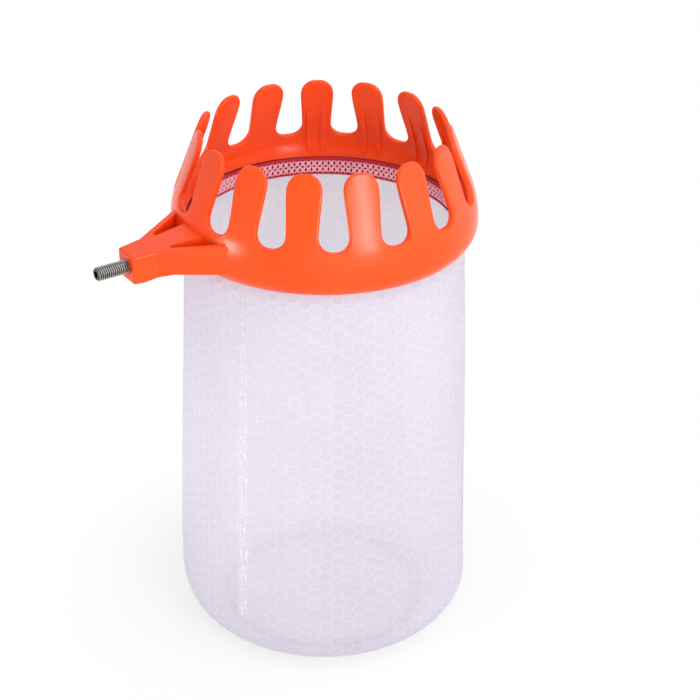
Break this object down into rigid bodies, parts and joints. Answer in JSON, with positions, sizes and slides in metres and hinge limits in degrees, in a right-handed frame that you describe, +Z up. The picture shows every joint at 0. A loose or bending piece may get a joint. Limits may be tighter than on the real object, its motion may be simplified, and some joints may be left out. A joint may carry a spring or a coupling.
{
  "type": "fruit picker head",
  "caption": "Head of a telescopic fruit picker: a plastic ring of inward-leaning fingers with a mesh bag below, on a forked arm with a threaded stud for the pole.",
  "frame": {"origin": "on the stud's axis, where the stud leaves the boss's end face", "axes": "-X along the stud towards the pole, +X towards the bag, +Z up out of the ring's mouth"},
  "size_m": [0.2405, 0.182, 0.3252],
  "materials": {
    "orange_plastic": "moulded, glossy",
    "stud_steel": "stainless, machined thread",
    "insert_brass": "knurled",
    "hem_fabric": "rolled hem, oversewn in pink thread",
    "hem_cord": "dark red twisted cord",
    "hoop_wire": "drawn spring wire",
    "bag_mesh": "fine hexagon mesh",
    "seam_tape": "woven tape"
  },
  "bodies": {
    "head": {"finger_ring": "orange_plastic", "stud_insert": "insert_brass", "hem_band": "hem_fabric", "hem_hoop": "hoop_wire", "hoop_sleeve": "hoop_wire", "hem_top_cord": "hem_cord", "hem_lower_cord": "hem_cord", "bag_wall": "bag_mesh", "side_seam": "seam_tape"},
    "stud": {"pole_stud": "stud_steel"},
    "bag_base": {"bag_bottom": "bag_mesh", "bottom_seam": "seam_tape"}
  },
  "joints": [
    {"name": "stud_turn", "type": "hinge", "parent": "head", "child": "stud", "pos_m": [0, 0, 0], "axis": [-1, 0, 0], "continuous": true},
    {"name": "bag_collapse", "type": "slide", "parent": "head", "child": "bag_base", "axis": [0, 0, 1], "range_m": [0, 0.18], "deforming": ["bag_wall", "side_seam"]}
  ]
}
